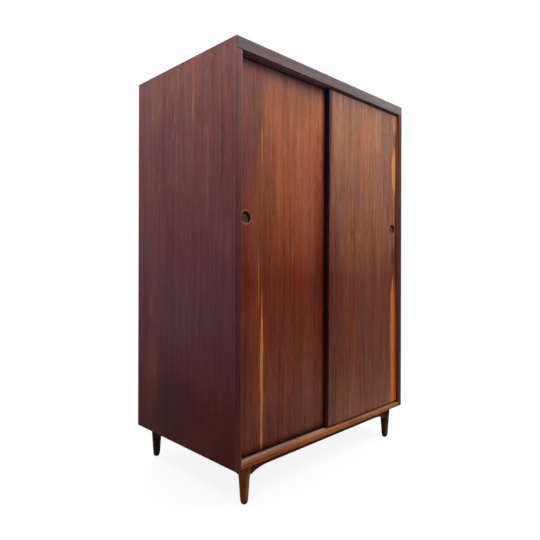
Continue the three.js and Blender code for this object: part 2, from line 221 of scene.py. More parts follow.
def build_grain(graph, given):
    """Rosewood grain along Z: how light and how warm it is, thin dark lines, fibre and pores."""
    seed = given["Seed"]
    offset = graph.join(seed, graph.times(seed, 3.1), graph.times(seed, 7.7))
    here = graph.vector_math("ADD", given["Vector"], offset)
    sway = graph.times(graph.swing(here, 1.7, 0.8), given["Sway"])
    x, y, z = graph.split(here)
    swayed = graph.join(graph.add(x, sway), graph.add(y, sway), z)
    bands = graph.swing(swayed, 10.0, 1.5, seed=3.0)
    tone = 0.0
    for across, along, share in TONE_LAYERS:
        layer = graph.swing(swayed, across, along, seed=across)
        tone = graph.add(tone, graph.times(layer, share))
    warmth = graph.swing(swayed, 17.0, 1.9, seed=31.0)
    tinge = graph.swing(swayed, 75.0, 4.0, seed=37.0)
    blush = graph.swing(swayed, 60.0, 9.0, seed=43.0)
    ridge = graph.math("ABSOLUTE", graph.swing(swayed, 30.0, 0.9, detail=3.0, seed=9.0))
    broken = graph.fade(graph.grain_noise(swayed, 24.0, 4.5, seed=13.0), 0.5, 0.66)
    lines = graph.times(graph.fade(ridge, 0.003, 0.018, 1.0, 0.0), broken)
    fibre = graph.grain_noise(swayed, 460.0, 16.0, detail=3.0, roughness=0.7)
    pores = graph.fade(graph.grain_noise(swayed, 950.0, 40.0, detail=1.0), 0.62, 0.70)
    return bands, tone, warmth, tinge, blush, lines, fibre, pores


def build_edge(graph, given):
    """How near a board's surface is to an arris of the board's box.

    A point's distance to the nearest arris is about the middle one of its distances to three sides.
    """
    offset = graph.vector_math("SUBTRACT", given["Vector"], given["Centre"])
    from_centre = graph.vector_math("ABSOLUTE", offset)
    a, b, c = graph.split(graph.vector_math("SUBTRACT", given["Half size"], from_centre))
    low, high = graph.math("MINIMUM", a, b), graph.math("MAXIMUM", a, b)
    middle = graph.math("MAXIMUM", low, graph.math("MINIMUM", high, c))
    ragged = graph.noise(given["Vector"], scale=60.0, detail=3.0)
    reach = graph.times(given["Reach"], graph.add(ragged, 0.5))
    return (graph.math("SUBTRACT", 1.0, graph.math("DIVIDE", middle, reach), clamp=True),)


def build_streak(graph, given):
    """One sapwood streak along Z at a place on X, with edges that wander, between two heights."""
    x, _, z = graph.split(given["Vector"])
    seed = given["Seed"]
    wander = graph.noise(graph.join(seed, 0.0, graph.times(z, 1.9)), detail=3.0)
    shift = graph.times(graph.add(wander, -0.5), given["Wander"])
    away = graph.math("ABSOLUTE", graph.math("SUBTRACT", graph.add(x, shift), given["Place"]))
    middle = graph.times(graph.add(given["Low"], given["High"]), 0.5)
    half = graph.times(graph.math("SUBTRACT", given["High"], given["Low"]), 0.5)
    from_middle = graph.math("ABSOLUTE", graph.math("SUBTRACT", z, middle))
    from_middle = graph.math("DIVIDE", from_middle, half)
    swell = graph.add(graph.noise(graph.join(0.0, seed, graph.times(z, 2.6)), detail=2.0), 0.5)
    ends = graph.fade(from_middle, given["Blunt"], 1.0, 1.0, 0.0)
    width = graph.times(graph.times(given["Width"], swell), ends)
    frayed = graph.times(graph.swing(given["Vector"], 70.0, 5.0, detail=3.0, seed=71.0), 0.9)
    reach = graph.add(graph.math("DIVIDE", away, graph.add(width, 0.0002)), frayed)
    body = graph.math("SUBTRACT", 1.0, reach, clamp=True)
    fibres = graph.grain_noise(given["Vector"], 180.0, 1.6, detail=3.0)
    return (graph.times(graph.fade(body, 0.0, 0.55), graph.fade(fibres, 0.3, 0.6, 0.6, 1.0)),)


def build_patch(graph, given):
    """A soft patch of other colour: an ellipse whose rim is drawn out in streaks along Z."""
    offset = graph.vector_math("SUBTRACT", given["Vector"], given["Centre"])
    offset = graph.vector_math("DIVIDE", offset, given["Half size"])
    reach = graph.vector_math("LENGTH", offset, output="Value")
    streaky = graph.swing(given["Vector"], 28.0, 1.3, detail=3.0, seed=17.0)
    rim = graph.add(reach, graph.times(streaky, given["Ragged"]))
    return (graph.fade(rim, 0.45, 1.35, 1.0, 0.0),)


GRAIN = group(
    "Straight grain",
    {"Vector": ZERO, "Seed": 0.0, "Sway": 0.02},
    ("Bands", "Tone", "Warmth", "Tinge", "Blush", "Lines", "Fibre", "Pores"),
    build_grain,
)
EDGE = group(
    "Board edge",
    {"Vector": ZERO, "Centre": ZERO, "Half size": ONES, "Reach": 0.004},
    ("Edge",),
    build_edge,
)
STREAK = group(
    "Sapwood streak",
    {
        "Vector": ZERO,
        "Place": 0.0,
        "Low": 0.0,
        "High": 1.0,
        "Width": 0.01,
        "Wander": 0.01,
        "Seed": 0.0,
        "Blunt": 0.35,
    },
    ("Mask",),
    build_streak,
)
PATCH = group(
    "Soft patch",
    {"Vector": ZERO, "Centre": ZERO, "Half size": ONES, "Ragged": 1.0},
    ("Mask",),
    build_patch,
)


# ---------------------------------------------------------------- finishes

RELIEF_HEIGHT = 0.0005
ARRIS_WIDTH = 0.003  # how wide a board's arris is made paler, by rubbing and by painted highlight

# Heights between which the strength of the grain's figure changes
LOW_FIGURE = FOOT + 0.3
HIGH_FIGURE = FOOT + 1.0


def new_material(name):
    material = bpy.data.materials.new(name)
    material.use_nodes = True
    material.node_tree.nodes.clear()
    return material, Graph(material.node_tree)


def finish_surface(graph, colour, roughness, relief, bump=0.12, **settings):
    """The surface of every material on the wardrobe. settings are the shader's own plain values."""
    inputs = {"Height": relief, "Strength": bump, "Distance": RELIEF_HEIGHT}
    normal = graph.node("ShaderNodeBump", inputs).outputs[0]
    inputs = {"Base Color": colour, "Roughness": roughness, "Normal": normal}
    shader = graph.node("ShaderNodeBsdfPrincipled", inputs)
    for socket, value in settings.items():
        shader.inputs[socket.replace("_", " ")].default_value = value
    graph.node("ShaderNodeOutputMaterial", {"Surface": shader.outputs[0]})


def grain_vector(graph, along):
    """Object coordinates turned so that the grain, which runs along the named axis, lies on Z."""
    place = graph.place()
    if along == "Z":
        return place
    x, y, z = graph.split(place)
    return graph.join(y, z, x) if along == "X" else graph.join(z, x, y)


# How strongly each part of the grain shifts red, green and blue
DOOR_FIGURE = {
    "Bands": (0.50, 0.66, 0.58),
    "Tone": (0.74, 1.05, 1.20),
    "Warmth": (0.40, 0.06, -0.42),
    "Tinge": (0.26, 0.22, -0.46),
    "Blush": (0.26, -0.26, 0.04),
    "Lines": (-0.24, -0.30, -0.30),
}
SIDE_FIGURE = {
    "Bands": (0.58, 0.42, 0.18),
    "Tone": (0.72, 0.88, 0.70),
    "Warmth": (0.26, -0.06, -0.38),
    "Tinge": (0.22, 0.10, -0.42),
    "Blush": (0.30, -0.26, 0.02),
    "Lines": (-0.08, -0.10, -0.08),
}


def rosewood(
    name,
    along,
    base,
    seed,
    node=None,
    sway=0.02,
    roughness=0.42,
    wear_and_highlight=0.2,
    figure=DOOR_FIGURE,
    strong=(1.0, 1.0),
    layers=(),
):
    """Lacquered rosewood. Its grain runs along the named axis, and seed shifts the grain.

    base is the board's colour, or a list of heights above the case's foot with their colours.
    node is the board whose arrises are made paler, by rubbing and by painted highlight, and
    wear_and_highlight is by how much.
    sway is how far the grain wanders.
    figure is how strongly each part of the grain shifts red, green and blue, and strong scales
    that low on the case and high on it.
    Each of the layers is a function that changes the colour somewhere.
    """
    material, graph = new_material(name)
    vector = grain_vector(graph, along)
    grain = graph.use(GRAIN, Vector=vector, Seed=seed, Sway=sway)
    if isinstance(base, list):
        height = graph.add(graph.split(graph.place())[2], -FOOT)
        colour = graph.ramp(height, base[0][0], base[-1][0], base)
    else:
        colour = base
    for layer in layers:
        colour = layer(graph, colour)
    scale = graph.fade(graph.split(graph.place())[2], LOW_FIGURE, HIGH_FIGURE, *strong)
    shifts = [(graph.times(grain[part], scale), weights) for part, weights in figure.items()]
    colour = graph.grade(colour, *shifts)
    colour = graph.shade(colour, graph.fade(grain["Fibre"], 0.3, 0.7, 0.93, 1.07))
    colour = graph.shade(colour, graph.fade(grain["Pores"], 0.0, 1.0, 1.0, 0.75))
    if node:
        low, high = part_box(node)
        board = {"Centre": (low + high) / 2, "Half_size": (high - low) / 2}
        edge = graph.use(EDGE, Vector=graph.place(), Reach=ARRIS_WIDTH, **board)
        colour = graph.shade(colour, graph.fade(edge[0], 0.0, 1.0, 1.0, 1.0 + wear_and_highlight))
    uneven = graph.noise(vector, scale=7.0, detail=3.0)
    rough = graph.add(graph.times(uneven, 0.12), roughness - 0.06)
    rough = graph.add(rough, graph.times(grain["Pores"], 0.12))
    relief = graph.math("SUBTRACT", graph.times(grain["Fibre"], 0.3), grain["Pores"])
    finish_surface(graph, colour, rough, relief, Specular_IOR_Level=0.04)
    return material


def plain_wood(name, along, dark, light, seed, roughness=0.5):
    """Pale plain wood for the inside: a soft two-colour grain."""
    material, graph = new_material(name)
    vector = grain_vector(graph, along)
    grain = graph.use(GRAIN, Vector=vector, Seed=seed, Sway=0.03)
    lightness = graph.add(grain["Tone"], grain["Bands"])
    colour = graph.mix(graph.fade(lightness, -0.25, 0.25), dark, light)
    colour = graph.shade(colour, graph.fade(grain["Fibre"], 0.3, 0.7, 0.92, 1.06))
    colour = graph.mix(graph.times(grain["Pores"], 0.25), colour, dark)
    rough = graph.add(graph.times(grain["Tone"], 0.1), roughness)
    finish_surface(graph, colour, rough, grain["Fibre"], Specular_IOR_Level=0.3)
    return material


def turned_metal(name, clean, tarnished):
    """Metal with fine marks all over it and a duller colour in places."""
    material, graph = new_material(name)
    place = graph.place()
    tarnish = graph.noise(place, scale=90.0, detail=4.0)
    colour = graph.mix(graph.fade(tarnish, 0.4, 0.7), clean, tarnished)
    marks = graph.noise(place, scale=900.0, detail=2.0)
    rough = graph.add(graph.times(tarnish, 0.2), 0.22)
    finish_surface(graph, colour, rough, marks, bump=0.05, Metallic=1.0)
    return material


def give(material, name):
    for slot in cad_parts[name].material_slots:
        slot.material = material


# ---------------------------------------------------------------- colour layers

THROUGH = 10.0  # a patch's half size through the board, so that it shows on both faces


def tint(z, half, by, x=None, y=None, ragged=1.0):
    """A layer that tints a soft patch on an upright board, at x on a board across X or at y.

    half is its half width and half height. ragged is how far the grain draws its rim out. Most
    patches are the wood's colour; some are painted light and some painted shade, as said where they
    are used.
    """
    centre = (x or 0.0, y or 0.0, z)
    size = (half[0], THROUGH, half[1]) if y is None else (THROUGH, half[0], half[1])
    patch = {"Centre": centre, "Half_size": size, "Ragged": ragged}

    def layer(graph, colour):
        mask = graph.use(PATCH, Vector=graph.place(), **patch)[0]
        return graph.stain(colour, by, mask)

    return layer


def stripe(axis, place, half, by, soft=0.5):
    """A layer that tints a straight stripe at a place on an axis. soft is its faded share. Some
    stripes are painted highlight and some painted shade, as said where they are used.
    """

    def layer(graph, colour):
        across = graph.split(graph.place())["XYZ".index(axis)]
        away = graph.math("ABSOLUTE", graph.add(across, -place))
        return graph.stain(colour, by, graph.fade(away, half * (1.0 - soft), half, 1.0, 0.0))

    return layer


def sapwood(place, low, high, width, colour, seed, wander, strength=0.9, blunt=0.35, axis="X"):
    """A layer for an upright board: one streak of a colour at a place on an axis.

    It runs from the height low to the height high, above the floor, and its edges wander.
    strength is how much of its colour shows, and blunt is how far from its middle to its ends
    it keeps its full width.
    """
    streak = {"Place": place, "Low": low, "High": high, "Width": width}
    streak.update(Wander=wander, Seed=seed, Blunt=blunt)

    def layer(graph, below):
        x, y, z = graph.split(graph.place())
        vector = graph.join(x, y, z) if axis == "X" else graph.join(y, x, z)
        mask = graph.use(STREAK, Vector=vector, **streak)[0]
        return graph.mix(graph.times(mask, strength), below, rgb(*colour))

    return layer


def flecks(above, by):
    """A layer of sparse short pale streaks on a board, above a height."""

    def layer(graph, colour):
        place = graph.place()
        sparse = graph.fade(graph.grain_noise(place, 45.0, 10.0, seed=61.0), 0.57, 0.72)
        up = graph.fade(graph.split(place)[2], above, above + 0.35)
        return graph.stain(colour, by, graph.times(sparse, up))

    return layer


def tone_toward_end(end, depth, by):
    """A layer that multiplies a board's colour by factors toward its head or foot, a height, and
    fades out over a depth.
    """

    def layer(graph, colour):
        away = graph.math("ABSOLUTE", graph.add(graph.split(graph.place())[2], -end))
        return graph.stain(colour, by, graph.fade(away, 0.0, depth, 1.0, 0.0))

    return layer


def along_x(left, right):
    """A layer that stains a board from one end of the case to the other."""

    def layer(graph, colour):
        across = graph.fade(graph.split(graph.place())[0], LEFT, RIGHT)
        return graph.stain(colour, graph.mix(across, rgb(*left), rgb(*right)))

    return layer


def painted_light_inner_face(graph, colour):
    """A layer for the right side: painted light makes its inner face paler in front of the doors,
    where it stands in shade beside the right door.
    """
    x, y, z = graph.split(graph.place())
    inner_face = RIGHT - 0.024
    inner = graph.fade(x, inner_face + 0.0006, inner_face + 0.0002)
    before_doors = graph.fade(y, FRONT + 0.020, FRONT + 0.012)
    mask = graph.times(inner, before_doors)
    stops = [
        (FOOT + 0.05, rgb(2.6, 2.8, 1.9)),
        (FOOT + 0.40, rgb(3.4, 4.0, 3.0)),
        (FOOT + 0.95, rgb(4.1, 6.2, 5.0)),
        (FOOT + 1.20, rgb(3.7, 5.2, 3.8)),
        (FOOT + 1.33, rgb(2.9, 4.0, 3.6)),
    ]
    by = graph.ramp(z, FOOT, FOOT + 1.36, stops)
    return graph.mix(mask, colour, graph.stain(colour, by))


def sill_top_highlight_and_shadow(graph, colour):
    """A layer for the sill: its top is painted paler and greyer from the lip back toward the doors,
    a painted highlight, and painted shadow darkens it close to the doors' feet.

    It is a little paler still at the left end, a painted highlight, and darker in front of the
    right door, a painted shadow.
    """
    x, y, _ = graph.split(graph.place())
    stops = [
        (FRONT + 0.0003, rgb(1.0, 1.0, 1.05)),
        (FRONT + 0.0015, rgb(1.02, 1.12, 1.25)),
        (FRONT + 0.0035, rgb(0.90, 1.15, 1.5)),
        (FRONT + 0.0055, rgb(1.10, 2.0, 3.4)),
        (FRONT + 0.0080, rgb(1.00, 1.8, 3.1)),
        (FRONT + 0.0115, rgb(0.93, 1.65, 3.1)),
        (FRONT + 0.0145, rgb(1.20, 2.4, 4.6)),
        (FRONT + 0.0180, rgb(1.36, 2.8, 6.0)),
        (FRONT + 0.0240, rgb(1.25, 2.6, 6.0)),
        (FRONT + 0.0290, rgb(0.66, 1.4, 3.5)),
        (FRONT + 0.0330, rgb(0.35, 0.7, 1.6)),
    ]
    colour = graph.stain(colour, graph.ramp(y, FRONT, FRONT + 0.035, stops))
    left_end = graph.fade(x, LEFT + 0.30, LEFT + 0.22)
    at_left_door = graph.fade(y, FRONT + 0.011, FRONT + 0.016)
    colour = graph.stain(colour, (1.28, 1.42, 1.55), graph.times(left_end, at_left_door))
    right_half = graph.fade(x, LEFT + 0.49, LEFT + 0.53)
    at_right_door = graph.fade(y, FRONT + 0.005, FRONT + 0.010)
    return graph.stain(colour, (0.62, 0.46, 0.34), graph.times(right_half, at_right_door))


PULL_RIM = 0.0210  # radius at the inside of a finger pull's rim


def pale_rim(pull, rim_colour):
    """A layer for a finger pull: its rim is another colour than the bowl inside it."""
    low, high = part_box(pull)
    centre = (low + high) / 2

    def layer(graph, colour):
        offset = graph.vector_math("SUBTRACT", graph.place(), (centre.x, low.y, centre.z))
        x, _, z = graph.split(offset)
        reach = graph.vector_math("LENGTH", graph.join(x, 0.0, z), output="Value")
        rim = graph.fade(reach, PULL_RIM - 0.0006, PULL_RIM + 0.0004)
        return graph.mix(rim, colour, rim_colour)

    return layer


# ---------------------------------------------------------------- colours

# The boards that change from foot to head: heights above the case's foot, and the colour there.
# This is partly the wood's own colour and partly painted light: mostly paler toward the head and
# darker lower down, as the light falls from above, and greyer at the doors' heads, a painted sheen.
# The right lipping's darker colours are painted shade.
SIDE_COLOURS = [
    (0.05, rgb(0.076, 0.0098, 0.0088)),
    (0.16, rgb(0.081, 0.0134, 0.0152)),
    (0.27, rgb(0.111, 0.0270, 0.0345)),
    (0.45, rgb(0.125, 0.0400, 0.0520)),
    (0.90, rgb(0.147, 0.0490, 0.0500)),
    (1.35, rgb(0.155, 0.0620, 0.0580)),
]
LIPPING_COLOURS = [
    (0.05, rgb(0.128, 0.0350, 0.0235)),
    (0.20, rgb(0.100, 0.0265, 0.0235)),
    (0.40, rgb(0.082, 0.0215, 0.0245)),
    (0.90, rgb(0.110, 0.0340, 0.0340)),
    (1.35, rgb(0.170, 0.0620, 0.0640)),
]
RIGHT_LIPPING_COLOURS = [
    (0.05, rgb(0.085, 0.0300, 0.0180)),
    (0.40, rgb(0.066, 0.0220, 0.0200)),
    (0.90, rgb(0.078, 0.0230, 0.0160)),
    (1.35, rgb(0.112, 0.0400, 0.0300)),
]
LEFT_DOOR_COLOURS = [
    (0.03, rgb(0.155, 0.043, 0.025)),
    (0.17, rgb(0.186, 0.052, 0.033)),
    (0.30, rgb(0.173, 0.039, 0.0210)),
    (0.45, rgb(0.158, 0.030, 0.0150)),
    (0.60, rgb(0.166, 0.028, 0.0120)),
    (0.75, rgb(0.240, 0.056, 0.027)),
    (0.90, rgb(0.300, 0.082, 0.041)),
    (1.05, rgb(0.308, 0.089, 0.046)),
    (1.20, rgb(0.330, 0.106, 0.047)),
    (1.30, rgb(0.280, 0.094, 0.050)),
]
RIGHT_DOOR_COLOURS = [
    (0.03, rgb(0.255, 0.090, 0.049)),
    (0.17, rgb(0.198, 0.064, 0.034)),
    (0.30, rgb(0.163, 0.044, 0.0225)),
    (0.45, rgb(0.154, 0.039, 0.0240)),
    (0.60, rgb(0.158, 0.041, 0.0235)),
    (0.75, rgb(0.222, 0.073, 0.037)),
    (0.90, rgb(0.262, 0.096, 0.055)),
    (1.05, rgb(0.275, 0.105, 0.063)),
    (1.20, rgb(0.309, 0.126, 0.073)),
    (1.30, rgb(0.280, 0.123, 0.076)),
]

# The pieces of one colour
FASCIA = rgb(0.134, 0.085, 0.090)
VENEER_TOP = rgb(0.112, 0.040, 0.031)
# The track's pale mauve grey is painted light: it stands in shade in the recess under the fascia.
RECESS = rgb(0.330, 0.205, 0.260)
SILL = rgb(0.305, 0.076, 0.024)
APRON = rgb(0.215, 0.052, 0.025)
# The rear apron, the stretchers, the rear legs and the front right leg are given far darker colours
# than the sill and the front left leg: painted shade, where they stand under the case.
RAIL = rgb(0.050, 0.018, 0.013)
REAR_LEG = rgb(0.065, 0.024, 0.017)
FRONT_RIGHT_LEG = rgb(0.100, 0.036, 0.020)
LEG = rgb(0.270, 0.078, 0.028)
PULL = rgb(0.112, 0.044, 0.040)

# The two colours that a finish mixes
BEECH = rgb(0.46, 0.28, 0.15), rgb(0.60, 0.40, 0.23)
BIRCH = rgb(0.43, 0.275, 0.148), rgb(0.50, 0.335, 0.188)
BRASS = rgb(0.62, 0.44, 0.17), rgb(0.34, 0.21, 0.08)
STEEL = rgb(0.36, 0.36, 0.35), rgb(0.24, 0.23, 0.21)


# ---------------------------------------------------------------- case


def side_layers():
    """Stains and streaks of a side's veneer."""
    return [
        tint(y=0.214, z=FOOT + 0.22, half=(0.048, 0.17), by=(1.60, 1.95, 1.25), ragged=0.6),
        tint(y=0.210, z=FOOT + 0.497, half=(0.017, 0.050), by=(1.60, 1.60, 0.95), ragged=0.4),
        tint(y=-0.17, z=FOOT + 0.13, half=(0.12, 0.15), by=(1.10, 1.15, 0.78)),
        tint(y=0.03, z=FOOT + 0.15, half=(0.13, 0.14), by=(0.80, 0.74, 0.94)),
        tint(y=-0.10, z=FOOT + 0.05, half=(0.08, 0.05), by=(1.18, 1.26, 1.14)),
        tint(y=0.10, z=FOOT + 0.05, half=(0.09, 0.06), by=(0.94, 0.76, 0.73)),
        tint(y=0.25, z=FOOT + 0.45, half=(0.05, 0.22), by=(0.96, 0.82, 0.87)),
        tint(y=-0.25, z=FOOT + 0.05, half=(0.05, 0.06), by=(0.90, 0.82, 0.95)),
        tint(y=-0.25, z=FOOT + 0.30, half=(0.04, 0.08), by=(0.88, 0.88, 0.84)),
        tint(y=-0.25, z=FOOT + 0.75, half=(0.04, 0.07), by=(1.18, 1.13, 1.08)),
        tint(y=-0.15, z=FOOT + 0.30, half=(0.05, 0.07), by=(1.09, 1.13, 1.20)),
        tint(y=-0.10, z=FOOT + 1.32, half=(0.07, 0.06), by=(0.90, 0.89, 0.99)),
        tint(y=0.15, z=FOOT + 1.25, half=(0.035, 0.09), by=(1.12, 1.04, 1.00)),
        tint(y=-0.02, z=FOOT + 0.50, half=(0.20, 0.16), by=(1.00, 1.10, 1.12)),
        tint(y=0.11, z=FOOT + 1.12, half=(0.06, 0.14), by=(0.80, 0.82, 1.06)),
        tint(y=-0.10, z=FOOT + 1.34, half=(0.022, 0.10), by=(1.32, 1.22, 1.00)),
        tint(y=0.04, z=FOOT + 1.33, half=(0.030, 0.075), by=(1.26, 1.20, 1.02)),
        tint(y=-0.25, z=FOOT + 1.27, half=(0.045, 0.14), by=(1.36, 1.26, 1.12), ragged=0.6),
        tint(y=0.17, z=FOOT + 1.25, half=(0.028, 0.09), by=(1.06, 1.26, 1.00)),
        sapwood(
            axis="Y", place=-0.155, low=0.95, high=1.34, width=0.0035, colour=(0.33, 0.140, 0.070),
            seed=14.0, wander=0.004, strength=0.50,
        ),
        sapwood(
            axis="Y", place=-0.071, low=1.27, high=1.55, width=0.0065, colour=(0.31, 0.135, 0.080),
            seed=15.0, wander=0.004, strength=0.45,
        ),
        sapwood(
            axis="Y", place=0.045, low=1.31, high=1.47, width=0.0065, colour=(0.28, 0.120, 0.065),
            seed=16.0, wander=0.003, strength=0.40,
        ),
        sapwood(
            axis="Y", place=-0.205, low=0.86, high=1.02, width=0.0070, colour=(0.29, 0.100, 0.055),
            seed=18.0, wander=0.003, strength=0.30,
        ),
        flecks(0.95, (1.36, 1.26, 1.00)),
        tone_toward_end(TOP, 0.006, (0.42, 0.50, 0.70)),
        stripe("Y", FRONT + 0.014, 0.004, (1.12, 1.12, 1.10)),
    ]


def finish_sides():
    """The side panels and the lippings on their front edges."""
    # A paler line along the left lipping's inner arris: painted highlight.
    arris_highlight = stripe("X", LEFT + 0.0205, 0.0036, (1.45, 1.6, 1.5), soft=0.4)
    for side, seed in (("left", 2.0), ("right", 5.0)):
        name = f"{side}_side_panel"
        layers = side_layers()
        # The right side's inner face gets painted light in front of the doors.
        if side == "right":
            layers.append(painted_light_inner_face)
        figured = {"figure": SIDE_FIGURE, "strong": (0.78, 1.06), "layers": layers}
        give(rosewood(f"Veneer {name}", "Z", SIDE_COLOURS, seed, node=name, **figured), name)
        name = f"{side}_front_lipping"
        # The right lipping's inner face gets the same painted light in front of the doors.
        layers = [arris_highlight] if side == "left" else [painted_light_inner_face]
        colours = LIPPING_COLOURS if side == "left" else RIGHT_LIPPING_COLOURS
        give(rosewood(f"Lipping {name}", "Z", colours, seed + 10.0, node=name, layers=layers), name)


def finish_top_and_sill():
    """The boards that lie along the case: top, fascia, track and sill."""
    top = rosewood("Veneer top", "X", VENEER_TOP, 9.0, node="top_panel", figure=SIDE_FIGURE)
    give(top, "top_panel")
    greyer = {"figure": SIDE_FIGURE, "layers": [along_x(ONES, (1.05, 1.32, 1.28))]}
    give(rosewood("Fascia", "X", FASCIA, 15.0, node="top_fascia", **greyer), "top_fascia")
    give(rosewood("Track", "X", RECESS, 17.0), "top_track")
    layers = [
        along_x(ONES, (1.24, 1.60, 1.90)),
        tint(x=LEFT + 0.44, z=FOOT, half=(0.16, 0.1), by=(1.36, 1.28, 1.12)),
        # The sill's top gets painted highlight and painted shadow.
        sill_top_highlight_and_shadow,
        # A pale line at the sill's left end: painted highlight on its arris.
        stripe("X", LEFT + 0.0245, 0.006, (1.30, 2.0, 3.2), soft=0.6),
    ]
    sill = rosewood("Sill", "X", SILL, 19.0, node="front_sill", wear_and_highlight=0.0, layers=layers)
    give(sill, "front_sill")


# ---------------------------------------------------------------- doors


def left_door_layers():
    """Stains and streaks of the left door's veneer, with painted shadow under the fascia, at the
    foot and beside the right door, and painted light close under the fascia and by the gap near the
    head.
    """
    return [
        tint(x=LEFT + 0.07, z=FOOT + 1.20, half=(0.085, 0.32), by=(0.60, 0.63, 1.00), ragged=0.7),
        tint(
            x=LEFT + 0.085, z=FOOT + 1.335, half=(0.075, 0.045), by=(1.45, 1.04, 0.96), ragged=0.6
        ),
        tint(x=LEFT + 0.05, z=FOOT + 0.80, half=(0.050, 0.22), by=(0.80, 0.70, 0.98), ragged=0.7),
        tint(x=LEFT + 0.15, z=FOOT + 0.82, half=(0.045, 0.32), by=(0.78, 0.75, 0.78), ragged=0.7),
        tint(x=LEFT + 0.05, z=FOOT + 0.30, half=(0.050, 0.19), by=(0.84, 0.80, 1.10), ragged=0.7),
        tint(x=LEFT + 0.045, z=FOOT + 0.05, half=(0.035, 0.09), by=(1.20, 1.18, 1.08)),
        tint(x=LEFT + 0.13, z=FOOT + 0.48, half=(0.030, 0.24), by=(1.18, 1.22, 1.08), ragged=0.8),
        tint(x=LEFT + 0.06, z=FOOT + 0.48, half=(0.060, 0.10), by=(1.22, 1.22, 1.12), ragged=0.8),
        # Painted shadow of the right door on the left door's right part.
        tint(x=LEFT + 0.47, z=FOOT + 0.80, half=(0.050, 0.44), by=(0.72, 0.58, 0.56), ragged=0.6),
        tint(x=LEFT + 0.44, z=FOOT + 0.06, half=(0.070, 0.14), by=(1.05, 1.20, 1.22)),
        tint(x=LEFT + 0.465, z=FOOT + 0.25, half=(0.030, 0.14), by=(0.93, 0.82, 0.74)),
        tint(x=LEFT + 0.46, z=FOOT + 0.45, half=(0.030, 0.05), by=(1.16, 1.15, 1.20)),
        tint(x=LEFT + 0.46, z=FOOT + 0.68, half=(0.030, 0.10), by=(0.85, 0.86, 0.88)),
        tint(x=LEFT + 0.34, z=FOOT + 0.15, half=(0.040, 0.20), by=(0.89, 0.93, 0.90)),
        tint(x=LEFT + 0.34, z=FOOT + 1.25, half=(0.035, 0.08), by=(0.87, 0.87, 0.83)),
        tint(x=LEFT + 0.27, z=FOOT + 1.12, half=(0.030, 0.12), by=(1.12, 1.12, 1.04)),
        tint(x=LEFT + 0.20, z=FOOT + 0.12, half=(0.040, 0.10), by=(0.89, 0.82, 0.91)),
        # Painted light at the left door's right edge near the head, beside the gap.
        tint(x=LEFT + 0.493, z=FOOT + 1.28, half=(0.009, 0.26), by=(1.9, 2.0, 1.8), ragged=0.0),
        # Painted shadow darkening toward the gap behind the right door.
        stripe("X", LEFT + 0.488, 0.036, (0.58, 0.42, 0.42), soft=0.95),
        sapwood(
            place=LEFT + 0.1415, low=-0.10, high=0.765, width=0.0073, colour=(0.72, 0.25, 0.085),
            seed=2.0, wander=0.006,
        ),
        sapwood(
            place=LEFT + 0.127, low=0.60, high=0.88, width=0.003, colour=(0.42, 0.12, 0.05),
            seed=4.0, wander=0.004,
        ),
        sapwood(
            place=LEFT + 0.141, low=1.13, high=1.29, width=0.0042, colour=(0.52, 0.20, 0.085),
            seed=5.0, wander=0.008,
        ),
        sapwood(
            place=LEFT + 0.298, low=0.78, high=0.92, width=0.004, colour=(0.46, 0.15, 0.05),
            seed=6.0, wander=0.003,
        ),
        # Painted shadow under the fascia, painted light in the top 12 mm where that shadow is
        # deepest, and painted shade at the foot.
        tone_toward_end(DOOR_HEAD, 0.070, (0.52, 0.48, 0.74)),
        tone_toward_end(DOOR_HEAD, 0.012, (2.7, 3.7, 4.2)),
        tone_toward_end(DOOR_FOOT, 0.026, (0.42, 0.30, 0.28)),
    ]


